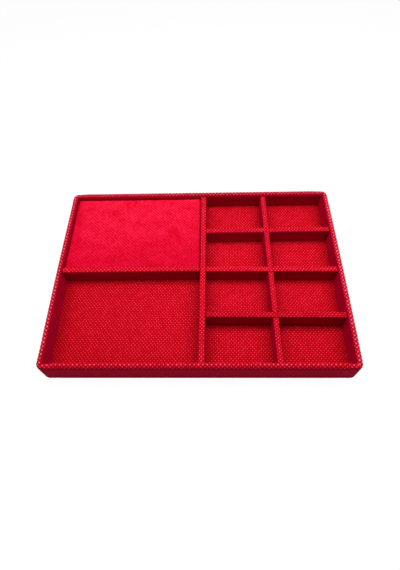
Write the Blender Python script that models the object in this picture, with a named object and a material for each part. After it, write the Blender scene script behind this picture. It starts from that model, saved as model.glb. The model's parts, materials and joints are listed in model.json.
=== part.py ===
"""Drawer jewelry organizer: a shallow tray of boards covered in woven cloth.

Eight small cells stand on the right, two large pockets on the left. A lift-out pad fills the
rear pocket. The origin is on the underside at the middle, +X to the right, +Y to the rear, +Z up.
All values are in metres.
"""
import math

import bmesh
import bpy

# Tray
TRAY_WIDTH = 0.350
TRAY_DEPTH = 0.250
TRAY_HEIGHT = 0.035
CORNER_RADIUS = 0.004
INNER_CORNER_RADIUS = 0.001
RIM_RADIUS = 0.0016
HEM_RADIUS = 0.0012

# Sheet and board thicknesses, and the film of glue between two glued layers
CLOTH = 0.0007
GLUE = 0.0003
WALL_BOARD = 0.0045
BASE_BOARD = 0.004
BASE_COVER = 0.0008
FLOOR_CARD = 0.0012
FLOOR_FOAM = 0.0028
BOARD_EDGE_RADIUS = 0.0005

# Cloth turned in under the base, and the cover glued over its raw edge
HEM_WIDTH = 0.012
BASE_COVER_INSET = 0.003
BASE_COVER_CORNER = 0.003

# Dividers
DIVIDER_BOARD = 0.0054
COLUMN_BOARD = 0.0046
DIVIDER_DROP = 0.002
COLUMN_DROP = 0.003
DIVIDER_EDGE_RADIUS = 0.0015
LEAST_RADIUS = 0.00025
MAIN_DIVIDER_X = 0.0051
LEFT_DIVIDER_SHIFT = 0.0012
SLOT_CLEARANCE = 0.0003
CELL_ROWS = 4
SLOT_DEPTH_SHARE = 0.5

# Lift-out pad
PAD_CLEARANCE = 0.0008
PAD_HEIGHT = 0.0148
PAD_CLOTH = 0.0009
PAD_CARD = 0.0015
PAD_HEM_WIDTH = 0.010
PAD_CORNER_RADIUS = 0.0034
PAD_EDGE_RADIUS = 0.0026
PAD_CROWN = 0.0008
PAD_SIDE_DRAW = 0.0005

# How far a cutter reaches past the face that it cuts
OVERRUN = 0.002

# Facets
ARC_STEPS = 5
EDGE_STEPS = 3
SMALL_ARC_STEPS = 3
PAD_SIDE_STEPS = 6
PAD_TOP_SHARES = (0.96, 0.84, 0.66, 0.44, 0.22)
SMOOTH_ANGLE = math.radians(35)

# Places worked out from the sizes
HALF_WIDTH = TRAY_WIDTH / 2
HALF_DEPTH = TRAY_DEPTH / 2
SKIN = CLOTH + GLUE
WALL = WALL_BOARD + 2 * SKIN
INNER_HALF_WIDTH = HALF_WIDTH - WALL
INNER_HALF_DEPTH = HALF_DEPTH - WALL
DIVIDER = DIVIDER_BOARD + 2 * SKIN
COLUMN = COLUMN_BOARD + 2 * SKIN

HEM_Z = BASE_COVER + GLUE
BASE_Z = HEM_Z + SKIN
BASE_TOP = BASE_Z + BASE_BOARD
WALL_FOOT = BASE_TOP + GLUE
CARD_TOP = WALL_FOOT + FLOOR_CARD
FOAM_Z = CARD_TOP + GLUE
FOAM_TOP = FOAM_Z + FLOOR_FOAM
FLOOR_Z = FOAM_TOP + GLUE
FLOOR_TOP = FLOOR_Z + CLOTH
DIVIDER_FOOT = FLOOR_TOP + GLUE
DIVIDER_TOP = TRAY_HEIGHT - DIVIDER_DROP
COLUMN_TOP = TRAY_HEIGHT - COLUMN_DROP
SLOT_Z = DIVIDER_FOOT + SLOT_DEPTH_SHARE * (COLUMN_TOP - DIVIDER_FOOT)

MAIN_LEFT = MAIN_DIVIDER_X - DIVIDER / 2
MAIN_RIGHT = MAIN_DIVIDER_X + DIVIDER / 2
COLUMN_X = (MAIN_RIGHT + INNER_HALF_WIDTH) / 2
CELL_PITCH = (2 * INNER_HALF_DEPTH + DIVIDER) / CELL_ROWS
POCKET_FRONT = LEFT_DIVIDER_SHIFT + DIVIDER / 2


def clear_scene():
    for thing in list(bpy.data.objects):
        bpy.data.objects.remove(thing, do_unlink=True)


def material(name, colour, roughness, metallic=0.0):
    """A Principled material, or the one that already has this name."""
    found = bpy.data.materials.get(name)
    if found:
        return found
    made = bpy.data.materials.new(name)
    made.use_nodes = True
    shader = made.node_tree.nodes["Principled BSDF"]
    shader.inputs["Base Color"].default_value = (*colour, 1.0)
    shader.inputs["Roughness"].default_value = roughness
    shader.inputs["Metallic"].default_value = metallic
    return made


def red_cloth():
    return material("red_cloth", (0.60, 0.004, 0.018), 0.85)


def pad_cloth():
    return material("pad_cloth", (0.84, 0.012, 0.040), 0.75)


def fibreboard():
    return material("fibreboard", (0.42, 0.30, 0.19), 0.80)


def grey_card():
    return material("grey_card", (0.36, 0.34, 0.31), 0.90)


def white_foam():
    return material("white_foam", (0.82, 0.81, 0.77), 0.95)


def black_felt():
    return material("black_felt", (0.012, 0.010, 0.011), 0.95)


def add_object(name, mesh_maker, finish, smooth=False):
    """A new object from a filled bmesh, with outward faces and its own material."""
    bmesh.ops.recalc_face_normals(mesh_maker, faces=mesh_maker.faces)
    mesh = bpy.data.meshes.new(name)
    mesh_maker.to_mesh(mesh)
    mesh_maker.free()
    if smooth:
        mesh.shade_smooth()
        mesh.set_sharp_from_angle(angle=SMOOTH_ANGLE)
    made = bpy.data.objects.new(name, mesh)
    made.data.materials.append(finish)
    bpy.context.scene.collection.objects.link(made)
    return made


def arc(centre, radius, start, end, steps):
    """Points on an arc in a plane, both ends included, angles in quarter turns."""
    points = []
    for step in range(steps + 1):
        angle = math.pi / 2 * (start + (end - start) * step / steps)
        points.append((centre[0] + radius * math.cos(angle), centre[1] + radius * math.sin(angle)))
    return points


def rounded_outline(half_x, half_y, radius, steps):
    """Counter-clockwise points of a rectangle with round corners, from the rear right corner."""
    points = []
    for quarter, (side_x, side_y) in enumerate(((1, 1), (-1, 1), (-1, -1), (1, -1))):
        centre = (side_x * (half_x - radius), side_y * (half_y - radius))
        points += arc(centre, radius, quarter, quarter + 1, steps)
    return points


def loft(rings, joined_ends):
    """Skin equal rings of points in order; the ends are joined to each other or filled."""
    solid = bmesh.new()
    loops = [[solid.verts.new(point) for point in ring] for ring in rings]
    pairs = list(zip(loops, loops[1:]))
    if joined_ends:
        pairs.append((loops[-1], loops[0]))
    for lower, upper in pairs:
        count = len(lower)
        for index in range(count):
            following = (index + 1) % count
            solid.faces.new((lower[index], lower[following], upper[following], upper[index]))
    if not joined_ends:
        solid.faces.new(loops[0])
        solid.faces.new(loops[-1])
    return solid


def at_height(points, height, middle=(0, 0)):
    return [(x + middle[0], y + middle[1], height) for x, y in points]


def plate(name, outline, low, high, finish, edge_radius=0):
    """A flat board or sheet with the given plan outline and softened top edges."""
    solid = loft([at_height(outline, low), at_height(outline, high)], joined_ends=False)
    if edge_radius:
        halfway = (low + high) / 2
        top_edges = [edge for edge in solid.edges if all(vert.co.z > halfway for vert in edge.verts)]
        bmesh.ops.bevel(solid, geom=top_edges, offset=edge_radius, segments=2, affect="EDGES", profile=0.5)
    return add_object(name, solid, finish)


# Tray base, from the table upwards
def build_base():
    cover_outline = rounded_outline(HALF_WIDTH - BASE_COVER_INSET, HALF_DEPTH - BASE_COVER_INSET,
                                    BASE_COVER_CORNER, ARC_STEPS)
    plate("base_cover", cover_outline, 0, BASE_COVER, black_felt())
    base_outline = rounded_outline(HALF_WIDTH - SKIN, HALF_DEPTH - SKIN, CORNER_RADIUS - SKIN, ARC_STEPS)
    plate("base_board", base_outline, BASE_Z, BASE_TOP, fibreboard())


# Four wall boards: the front and rear ones run the full width and carry the round corners
def build_wall_boards():
    low = WALL_FOOT
    high = TRAY_HEIGHT - SKIN
    outer_x = HALF_WIDTH - SKIN
    outer_y = HALF_DEPTH - SKIN
    inner_y = outer_y - WALL_BOARD
    radius = CORNER_RADIUS - SKIN
    for name, side in (("front_wall_board", -1), ("rear_wall_board", 1)):
        right = arc((outer_x - radius, outer_y - radius), radius, 0, 1, ARC_STEPS)
        left = [(-x, y) for x, y in reversed(right)]
        outline = [(x, side * y) for x, y in right + left + [(-outer_x, inner_y), (outer_x, inner_y)]]
        plate(name, outline, low, high, fibreboard(), BOARD_EDGE_RADIUS)
    end_y = inner_y - GLUE
    inner_x = outer_x - WALL_BOARD
    for name, side in (("left_wall_board", -1), ("right_wall_board", 1)):
        outline = [(side * outer_x, -end_y), (side * outer_x, end_y), (side * inner_x, end_y),
                   (side * inner_x, -end_y)]
        plate(name, outline, low, high, fibreboard(), BOARD_EDGE_RADIUS)


def wrap_section():
    """The wall cloth's section: (distance in from the outer face, height), a closed loop."""
    hem_top = HEM_Z + HEM_RADIUS
    rim_low = TRAY_HEIGHT - RIM_RADIUS
    outside = [(HEM_WIDTH, HEM_Z)]
    outside += arc((HEM_RADIUS, hem_top), HEM_RADIUS, 3, 2, EDGE_STEPS)
    outside += arc((RIM_RADIUS, rim_low), RIM_RADIUS, 2, 1, EDGE_STEPS)
    outside += arc((WALL - RIM_RADIUS, rim_low), RIM_RADIUS, 1, 0, EDGE_STEPS)
    outside += [(WALL, WALL_FOOT)]
    inside = [(WALL - CLOTH, WALL_FOOT)]
    inside += arc((WALL - RIM_RADIUS, rim_low), RIM_RADIUS - CLOTH, 0, 1, EDGE_STEPS)
    inside += arc((RIM_RADIUS, rim_low), RIM_RADIUS - CLOTH, 1, 2, EDGE_STEPS)
    inside += arc((HEM_RADIUS, hem_top), HEM_RADIUS - CLOTH, 2, 3, EDGE_STEPS)
    inside += [(HEM_WIDTH, HEM_Z + CLOTH)]
    return outside + inside


# One strip of cloth: from under the base, up the outside, over the rim and down the inside
def build_wall_wrap():
    rings = []
    for inset, height in wrap_section():
        radius = max(CORNER_RADIUS - inset, INNER_CORNER_RADIUS)
        outline = rounded_outline(HALF_WIDTH - inset, HALF_DEPTH - inset, radius, ARC_STEPS)
        rings.append(at_height(outline, height))
    add_object("wall_wrap", loft(rings, joined_ends=True), red_cloth(), smooth=True)


# Floor liner between the walls: card, thin foam, cloth
def build_floor():
    outline = rounded_outline(INNER_HALF_WIDTH - GLUE, INNER_HALF_DEPTH - GLUE, INNER_CORNER_RADIUS,
                              SMALL_ARC_STEPS)
    plate("floor_card", outline, WALL_FOOT, CARD_TOP, grey_card())
    plate("floor_foam", outline, FOAM_Z, FOAM_TOP, white_foam())
    plate("floor_cloth", outline, FLOOR_Z, FLOOR_TOP, red_cloth())


def box(half_x, half_y, low, high, middle):
    outline = [(half_x, half_y), (-half_x, half_y), (-half_x, -half_y), (half_x, -half_y)]
    return loft([at_height(outline, low, middle), at_height(outline, high, middle)], joined_ends=False)


def divider_rings(inset, half_x, half_y, top, middle):
    """Rings up the side of a divider and over its round edge, the inset inside its outer face."""
    radius = DIVIDER_EDGE_RADIUS
    side = [(inset, DIVIDER_FOOT)] + arc((radius, top - radius), radius - inset, 2, 1, EDGE_STEPS)
    rings = []
    for gap, height in side:
        outline = rounded_outline(half_x - gap, half_y - gap, max(radius - gap, LEAST_RADIUS), SMALL_ARC_STEPS)
        rings.append(at_height(outline, height, middle))
    return rings


def divider(name, half_x, half_y, middle, top):
    """A board and the cloth folded over it, open along the foot; the half sizes are the outer ones."""
    board = loft(divider_rings(SKIN, half_x, half_y, top, middle), joined_ends=False)
    outside = divider_rings(0, half_x, half_y, top, middle)
    inside = divider_rings(CLOTH, half_x, half_y, top, middle)
    wrap = loft(list(reversed(outside)) + inside, joined_ends=False)
    return (add_object(name + "_board", board, fibreboard()),
            add_object(name + "_wrap", wrap, red_cloth(), smooth=True))


def cutter(name, half_x, half_y, low, high, middle):
    made = add_object(name, box(half_x, half_y, low, high, middle), fibreboard())
    made.hide_render = True
    made.display_type = "WIRE"
    return made


def cut(pieces, tool):
    for piece in pieces:
        change = piece.modifiers.new("slot", "BOOLEAN")
        change.operation = "DIFFERENCE"
        change.solver = "EXACT"
        change.object = tool


# Fixed dividers: two long ones front to rear, one across the left half, three across the right
def build_dividers():
    long_half = INNER_HALF_DEPTH - GLUE
    divider("main_divider", DIVIDER / 2, long_half, (MAIN_DIVIDER_X, 0), DIVIDER_TOP)
    column = divider("column_divider", COLUMN / 2, long_half, (COLUMN_X, 0), COLUMN_TOP)
    left_half = (INNER_HALF_WIDTH + MAIN_LEFT) / 2 - GLUE
    left_middle = (MAIN_LEFT - INNER_HALF_WIDTH) / 2
    divider("left_divider", left_half, DIVIDER / 2, (left_middle, LEFT_DIVIDER_SHIFT), DIVIDER_TOP)
    right_half = (INNER_HALF_WIDTH - MAIN_RIGHT) / 2 - GLUE
    half_gap = SLOT_CLEARANCE / 2
    for number in range(1, CELL_ROWS):
        middle_y = INNER_HALF_DEPTH + DIVIDER / 2 - number * CELL_PITCH
        cross = divider(f"cross_divider_{number}", right_half, DIVIDER / 2, (COLUMN_X, middle_y), DIVIDER_TOP)
        lower_slot = cutter(f"cross_slot_{number}", COLUMN / 2 + SLOT_CLEARANCE, DIVIDER / 2 + OVERRUN,
                            DIVIDER_FOOT - OVERRUN, SLOT_Z + half_gap, (COLUMN_X, middle_y))
        cut(cross, lower_slot)
        upper_slot = cutter(f"column_slot_{number}", COLUMN / 2 + OVERRUN, DIVIDER / 2 + SLOT_CLEARANCE,
                            SLOT_Z - half_gap, COLUMN_TOP + OVERRUN, (COLUMN_X, middle_y))
        cut(column, upper_slot)


def drawn_outline(half_x, half_y, radius, draw):
    """A rounded rectangle whose four sides are drawn in towards their middles."""
    corners = rounded_outline(half_x, half_y, radius, SMALL_ARC_STEPS)
    per_corner = SMALL_ARC_STEPS + 1
    points = []
    for quarter in range(4):
        start = quarter * per_corner
        points += corners[start:start + per_corner]
        ahead = corners[(start + per_corner) % len(corners)]
        behind = points[-1]
        for step in range(1, PAD_SIDE_STEPS):
            share = step / PAD_SIDE_STEPS
            pull = draw * math.sin(math.pi * share)
            x = behind[0] + (ahead[0] - behind[0]) * share
            y = behind[1] + (ahead[1] - behind[1]) * share
            along_x = quarter in (0, 2)
            points.append((x, y - math.copysign(pull, y)) if along_x else (x - math.copysign(pull, x), y))
    return points


def crowned_top(half_x, half_y, radius, draw, edge_height, crown, middle):
    """Shrinking rings over a domed top, from its edge to near its centre."""
    rings = []
    edge = drawn_outline(half_x, half_y, radius, draw)
    for share in PAD_TOP_SHARES:
        ring = [(x * share, y * share) for x, y in edge]
        rings.append(at_height(ring, edge_height + crown * (1 - share ** 2), middle))
    return rings


def pad_skin(inset, half_x, half_y, foot, top, middle):
    """Rings from the foot of the pad's side, over its round edge, to the middle of its top."""
    edge = PAD_EDGE_RADIUS
    side = [(inset, foot)] + arc((edge, top - edge), edge - inset, 2, 1, EDGE_STEPS)
    rings = []
    for gap, height in side:
        radius = max(PAD_CORNER_RADIUS - gap, INNER_CORNER_RADIUS)
        ring = drawn_outline(half_x - gap, half_y - gap, radius, PAD_SIDE_DRAW)
        rings.append(at_height(ring, height, middle))
    last = side[-1][0]
    radius = max(PAD_CORNER_RADIUS - last, INNER_CORNER_RADIUS)
    rings += crowned_top(half_x - last, half_y - last, radius, PAD_SIDE_DRAW, top - inset, PAD_CROWN, middle)
    return rings


# Lift-out pad: a card, a foam block and the cloth drawn over both and turned in below
def build_pad():
    half_x = (INNER_HALF_WIDTH + MAIN_LEFT) / 2 - PAD_CLEARANCE
    half_y = (INNER_HALF_DEPTH - POCKET_FRONT) / 2 - PAD_CLEARANCE
    middle = ((MAIN_LEFT - INNER_HALF_WIDTH) / 2, (INNER_HALF_DEPTH + POCKET_FRONT) / 2)
    foot = FLOOR_TOP + GLUE
    edge_top = foot + PAD_HEIGHT

    hem_outline = drawn_outline(half_x - PAD_HEM_WIDTH, half_y - PAD_HEM_WIDTH, PAD_CORNER_RADIUS, 0)
    inner_foot = foot + PAD_CLOTH
    outside = pad_skin(0, half_x, half_y, foot, edge_top, middle)
    inside = pad_skin(PAD_CLOTH, half_x, half_y, inner_foot, edge_top, middle)
    rings = list(reversed(outside)) + [at_height(hem_outline, foot, middle)]
    rings += [at_height(hem_outline, inner_foot, middle)] + inside
    add_object("pad_cover", loft(rings, joined_ends=False), pad_cloth(), smooth=True)

    skin = PAD_CLOTH + GLUE
    card_low = inner_foot + GLUE
    card_high = card_low + PAD_CARD
    card_outline = drawn_outline(half_x - skin, half_y - skin, PAD_CORNER_RADIUS - skin, PAD_SIDE_DRAW)
    card = loft([at_height(card_outline, card_low, middle), at_height(card_outline, card_high, middle)],
                joined_ends=False)
    add_object("pad_card", card, grey_card())

    foam = loft(pad_skin(skin, half_x, half_y, card_high + GLUE, edge_top, middle), joined_ends=False)
    add_object("pad_foam", foam, white_foam(), smooth=True)


def main():
    clear_scene()
    build_base()
    build_wall_boards()
    build_wall_wrap()
    build_floor()
    build_dividers()
    build_pad()


main()
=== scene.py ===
# %% [markdown]
# # A cloth-covered drawer organizer
#
# The object is a shallow tray for a drawer. Boards give it its shape, and one coarse red cloth covers
# all of it: the walls, the thin dividers and the floor. The two large pockets are on the left, and a
# loose pad in a finer, brighter cloth fills the rear one. Eight small cells are on the right.
#
# Nearly everything that shows is cloth, so this lesson is about cloth. The same weave is made twice from
# one formula: as real relief in the meshes, and as colour in the materials. All sizes are in metres.

# %% Load the frame
import json
import math

import bmesh
import bpy
import numpy as np
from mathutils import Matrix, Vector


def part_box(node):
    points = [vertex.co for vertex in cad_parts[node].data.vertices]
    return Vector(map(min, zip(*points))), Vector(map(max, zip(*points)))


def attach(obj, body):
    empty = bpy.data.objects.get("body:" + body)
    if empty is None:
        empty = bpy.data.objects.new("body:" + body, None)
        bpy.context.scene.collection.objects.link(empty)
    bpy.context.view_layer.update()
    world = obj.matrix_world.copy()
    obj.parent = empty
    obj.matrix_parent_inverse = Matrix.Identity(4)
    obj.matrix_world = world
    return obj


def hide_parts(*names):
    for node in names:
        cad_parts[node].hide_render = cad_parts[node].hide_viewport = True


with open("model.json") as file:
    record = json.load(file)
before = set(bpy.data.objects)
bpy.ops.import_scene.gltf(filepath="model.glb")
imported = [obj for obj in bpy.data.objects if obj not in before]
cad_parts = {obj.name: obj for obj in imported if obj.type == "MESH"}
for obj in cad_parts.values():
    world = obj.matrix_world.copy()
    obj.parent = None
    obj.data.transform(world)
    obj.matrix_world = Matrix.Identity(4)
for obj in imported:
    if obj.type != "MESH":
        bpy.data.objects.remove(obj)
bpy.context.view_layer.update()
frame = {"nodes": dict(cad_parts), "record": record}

# %% [markdown]
# ## Sizes that come from the frame
#
# The solids already have their real sizes, so the cloth takes its places from them. Only what a solid
# leaves out is written here: how soft the corners and edges are.

# %% Read the tray's sizes
MM = 0.001
TINY = MM / 1000
GLUE_FILM = 0.3 * MM
SKIN = 1.0 * MM

wall_low, wall_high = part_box("wall_wrap")
floor_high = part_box("floor_cloth")[1]
HALF_WIDTH, HALF_DEPTH, RIM_HEIGHT = wall_high
HEM_HEIGHT = wall_low.z
FLOOR_HEIGHT = floor_high.z
INNER_HALF_WIDTH = floor_high.x + GLUE_FILM
INNER_HALF_DEPTH = floor_high.y + GLUE_FILM
WALL = HALF_WIDTH - INNER_HALF_WIDTH
WALL_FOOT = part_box("floor_card")[0].z

CORNER = 7.5 * MM
FOOT_CORNER = 4.0 * MM
INNER_CORNER = 1 * MM
HEM = 12 * MM
HEM_FOLD = 2.6 * MM
HEM_DROP = 0.8 * MM
HEM_ROUND = 0.6 * MM
print(f"tray {2 * HALF_WIDTH:.3f} by {2 * HALF_DEPTH:.3f} by {RIM_HEIGHT:.3f} m, walls {WALL:.4f} m")

# %% [markdown]
# ## How the tray was really glued
#
# The solids are drawn square. The photograph shows what hand work does to that: the side walls bow outwards
# by less than a millimetre, three of the walls stand a little further out, the side walls are thicker at the
# foot, and each divider stands a little aside or out of square. One rule moves every point of the drawn tray
# to where the real walls are, and each divider has a rule of its own.

# %% Rule for walls
SIDE_BOW = 0.8 * MM
LEFT_SET, LEFT_TURN = 0.87 * MM, 0.55 * MM
RIGHT_SET = 0.8 * MM
FOOT_OUT = 1.1 * MM
FOOT_IN = 1.4 * MM
FRONT_FOOT_OUT = 0.35 * MM
FRONT_FADE_POWER = 8
REAR_SET, REAR_TURN = 0.7 * MM, 0.35 * MM


def settled(points):
    """Points of the square tray, moved to where the bowed and turned walls stand."""
    x, y, z = np.moveaxis(np.asarray(points, float), -1, 0)
    to_right, to_rear = x / HALF_WIDTH, y / HALF_DEPTH
    share_out = np.clip((abs(x) - INNER_HALF_WIDTH) / WALL, 0, 1)
    foot_share = 1 - z / RIM_HEIGHT
    bow = SIDE_BOW * (1 - to_rear ** 2) + (FOOT_OUT * share_out - FOOT_IN * (1 - share_out)) * foot_share
    left = bow + LEFT_SET + LEFT_TURN * to_rear
    right = bow + RIGHT_SET
    rear = REAR_SET + REAR_TURN * to_right
    front = FRONT_FOOT_OUT * foot_share
    moved_x = x + np.clip(to_right, 0, None) * right - np.clip(-to_right, 0, None) * left
    moved_y = y + np.clip(to_rear, 0, None) * rear - np.clip(-to_rear, 0, None) ** FRONT_FADE_POWER * front
    return np.stack([moved_x, moved_y, z], axis=-1)


print("left rim moves by", (settled([-HALF_WIDTH, 0, RIM_HEIGHT])[0] + HALF_WIDTH).round(5), "m")


# %% Rules for dividers
def bent(name, length_axis, shift, turn, bow):
    """How far a divider stands aside at a place along it: turn is what its far end adds."""
    low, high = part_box(name + "_wrap")
    middle = (low[length_axis] + high[length_axis]) / 2
    half = (high[length_axis] - low[length_axis]) / 2

    def aside(place):
        share = (place - middle) / half
        return shift + turn * share + bow * (1 - share ** 2)

    return aside


# Each divider: the axis that it runs along, then its shift, turn and bow in millimetres.
divider_rules = {
    "main_divider": (1, -0.2, 1.05, 0.45),
    "left_divider": (0, 0.1, 0.4, 0.0),
    "column_divider": (1, -0.5, -0.65, -0.35),
    "cross_divider_1": (0, -1.0, 0.4, 0.0),
    "cross_divider_2": (0, 0.5, -0.5, 0.0),
    "cross_divider_3": (0, 0.25, -0.7, 0.0),
}
length_axes = {name: rule[0] for name, rule in divider_rules.items()}
aside_rules = {name: bent(name, axis, shift * MM, turn * MM, bow * MM)
               for name, (axis, shift, turn, bow) in divider_rules.items()}
print("dividers with a rule of their own:", sorted(aside_rules))

# %% [markdown]
# ## The weave
#
# The cloth is a plain weave: each cross thread goes over one lengthwise thread and under the next, so the
# floats lie like the squares of a chessboard. Counted in threads, that is the product of two sines: it is
# positive where the cross thread is on top and negative where it dips. The same few lines work on arrays
# of points and on a material's sockets, so the relief and the colour can never drift apart.

# %% Weave formula
THREAD = 2.04 * MM
WIDE_THREAD = 2.33 * MM
PAD_THREAD = 2.22 * MM
RELIEF = 0.34 * MM
FLOAT_STEP = 0.26 * MM
LIFT = 0.28 * MM
LIGHT_AND_WEAR_POWER = 2.5
END_CLEARANCE = 0.2


def sine(value):
    return value.maths("SINE") if isinstance(value, Wire) else np.sin(value)


def floats(along, across):
    """+1 on the middle of a cross thread's float, -1 on a lengthwise one, 0 between them."""
    return sine(along * math.pi) * sine(across * math.pi)


def ridges(along, across):
    """1 on the middle of each float, 0 in the pits where four floats meet."""
    return (abs(sine(along * math.pi)) + abs(sine(across * math.pi))) / 2


def slant(along, across):
    """The diagonal rib that a raised nap leaves on the pad's cloth, from -1 to +1."""
    return sine((along + across) * math.pi - math.pi / 2)


def relief(along, across):
    """How far the coarse cloth lies above the solid's surface, which runs through its middle."""
    return LIFT + RELIEF * (ridges(along, across) - 1) + FLOAT_STEP * (floats(along, across) - 1) / 2


def eased(share):
    """A share from 0 to 1 that starts and ends gently."""
    share = np.clip(share, 0, 1)
    return share * share * (3 - 2 * share)


def light_and_wear(upward):
    """Share of painted light and wear: full where a place faces up, none on upright faces, painted in shade.
    """
    return np.clip(upward, 0, 1) ** LIGHT_AND_WEAR_POWER


def half_threads(low, high, thread, start=0.0):
    """Places of the thread edges and thread middles between two ends, with both ends."""
    step = thread / 2
    first = math.ceil((low - start) / step + END_CLEARANCE)
    last = math.floor((high - start) / step - END_CLEARANCE)
    return np.concatenate([[low], start + np.arange(first, last + 1) * step, [high]])


print(f"threads {THREAD:.5f} and {WIDE_THREAD:.5f} m apart, and {PAD_THREAD:.5f} m on the pad")

# %% [markdown]
# ## From a grid of points to a cloth mesh
#
# Each piece of cloth is a grid whose lines follow the threads, with a line on each thread's middle and
# edge. The mesh keeps each point's thread count in an attribute, which the material reads, and a flat map
# of the cloth. A second attribute says how far the colour is darkened there, mostly as painted shade. Grid
# points that were pushed together at a cut edge are merged, so no face has zero area.

# %% Cloth mesh from grids
MERGE = 0.00001
MAP_NAME = "OFBake"


def added(name, data):
    """A new object in the scene."""
    made = bpy.data.objects.new(name, data)
    bpy.context.scene.collection.objects.link(made)
    return made


def grid_faces(rows, columns, first):
    index = first + np.arange(rows * columns).reshape(rows, columns)
    corners = (index[:-1, :-1], index[:-1, 1:], index[1:, 1:], index[1:, :-1])
    return np.stack([corner.ravel() for corner in corners], axis=1).tolist()


def map_of(index, count, rows, columns):
    """Flat places of a grid's points in its own band of a square map."""
    margin = 0.01
    u, v = np.meshgrid(np.linspace(margin, 1 - margin, columns), np.linspace(margin, 1 - margin, rows))
    return np.stack([u, (index + v) / count], axis=-1)


def cloth_object(name, sheets, caps=()):
    """A mesh object from sheets of (points, thread counts both ways, painted light and wear, darkening)."""
    points, threads, darkenings, flat, faces = [], [], [], [], []
    first = 0
    for index, (places, along, across, lit_and_worn, darkening) in enumerate(sheets):
        rows, columns = along.shape
        darkenings.append(np.broadcast_to(darkening, along.shape).ravel())
        points.append(places.reshape(-1, 3))
        threads.append(np.stack([along, across, lit_and_worn], axis=-1).reshape(-1, 3))
        flat.append(map_of(index, len(sheets), rows, columns).reshape(-1, 2))
        faces += grid_faces(rows, columns, first)
        first += rows * columns
    faces += [list(cap) for cap in caps]
    mesh = bpy.data.meshes.new(name)
    mesh.from_pydata(np.concatenate(points).tolist(), [], faces)
    counts = mesh.attributes.new("threads", "FLOAT_VECTOR", "POINT")
    counts.data.foreach_set("vector", np.concatenate(threads).astype(np.float32).ravel())
    depth = mesh.attributes.new("darkening", "FLOAT", "POINT")
    depth.data.foreach_set("value", np.concatenate(darkenings).astype(np.float32))
    flat_map = mesh.uv_layers.new(name=MAP_NAME)
    corner_points = np.zeros(len(mesh.loops), np.int32)
    mesh.loops.foreach_get("vertex_index", corner_points)
    flat_map.data.foreach_set("uv", np.concatenate(flat)[corner_points].astype(np.float32).ravel())
    merge_points(mesh)
    mesh.shade_smooth()
    print(f"{name}: {len(mesh.vertices)} points, {len(mesh.polygons)} faces")
    return added(name, mesh)


def merge_points(mesh):
    work = bmesh.new()
    work.from_mesh(mesh)
    bmesh.ops.remove_doubles(work, verts=work.verts, dist=MERGE)
    bmesh.ops.dissolve_degenerate(work, edges=work.edges, dist=MERGE)
    work.to_mesh(mesh)
    work.free()


# %% [markdown]
# ## Outlines with soft corners
#
# Cloth never turns a sharp corner. A wall, a divider and the pad's edge are each described by a few corner
# points and a radius for each turn. Walking along the rounded outline by its own length keeps the threads
# evenly spaced round every bend, as they are on real cloth.

# %% Rounded outlines
ARC_POINTS = 12


def rounded_outline(corners, radii):
    """A dense outline through 2-D corners. A turn has one radius, or two: before and after the corner."""
    outline = [np.array(corners[0], float)]
    for before, corner, after, radius in zip(corners, corners[1:], corners[2:], radii):
        here = np.array(corner, float)
        inward = np.array(before, float) - here
        onward = np.array(after, float) - here
        first, last = radius if isinstance(radius, tuple) else (radius, radius)
        inward *= first / np.linalg.norm(inward)
        onward *= last / np.linalg.norm(onward)
        for turn in np.linspace(0, math.pi / 2, ARC_POINTS):
            outline.append(here + inward * (1 - math.sin(turn)) + onward * (1 - math.cos(turn)))
    outline.append(np.array(corners[-1], float))
    return np.array(outline)


def outline_length(outline):
    return float(np.linalg.norm(np.diff(outline, axis=0), axis=1).sum())


def lengths_along(outline):
    """How far along the outline each of its points lies."""
    steps = np.linalg.norm(np.diff(outline, axis=0), axis=1)
    return np.concatenate([[0], np.cumsum(steps)])


def walk(outline, places):
    """Points on the outline at these lengths along it, and the directions that face away from it."""
    along = lengths_along(outline)

    def points_at(lengths):
        return np.stack([np.interp(lengths, along, outline[:, axis]) for axis in (0, 1)], axis=-1)

    near = 0.4 * MM
    inner = np.clip(places, near, along[-1] - near)
    heading = points_at(inner + near) - points_at(inner - near)
    heading /= np.linalg.norm(heading, axis=1)[:, None]
    return points_at(places), np.stack([-heading[:, 1], heading[:, 0]], axis=-1)


# %% [markdown]
# ## Materials: sockets that work like numbers
#
# A material is a small graph of nodes. Writing it as sums and products is easier to read than placing the
# nodes one by one, so a thin wrapper round a socket turns each operator into its Math node. Any other node
# comes from one method, which sets the node's settings first and then fills its sockets.

# %% Node helpers
class Wire:
    """A value in a material that can be added, multiplied and limited like a number."""

    def __init__(self, finish, socket):
        self.finish = finish
        self.socket = socket

    def maths(self, operation, *others):
        inputs = dict(enumerate((self, *others)))
        return self.finish.node("ShaderNodeMath", {"operation": operation}, inputs)

    def __add__(self, other):
        return self.maths("ADD", other)

    def __sub__(self, other):
        return self.maths("SUBTRACT", other)

    def __rsub__(self, other):
        return self.finish.node("ShaderNodeMath", {"operation": "SUBTRACT"}, {0: other, 1: self})

    def __mul__(self, other):
        return self.maths("MULTIPLY", other)

    def __truediv__(self, other):
        return self.maths("DIVIDE", other)

    def __abs__(self):
        return self.maths("ABSOLUTE")

    __radd__ = __add__
    __rmul__ = __mul__

    def floor(self):
        return self.maths("FLOOR")

    def limited(self, low=0.0, high=1.0):
        return self.maths("MAXIMUM", low).maths("MINIMUM", high)


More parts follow.
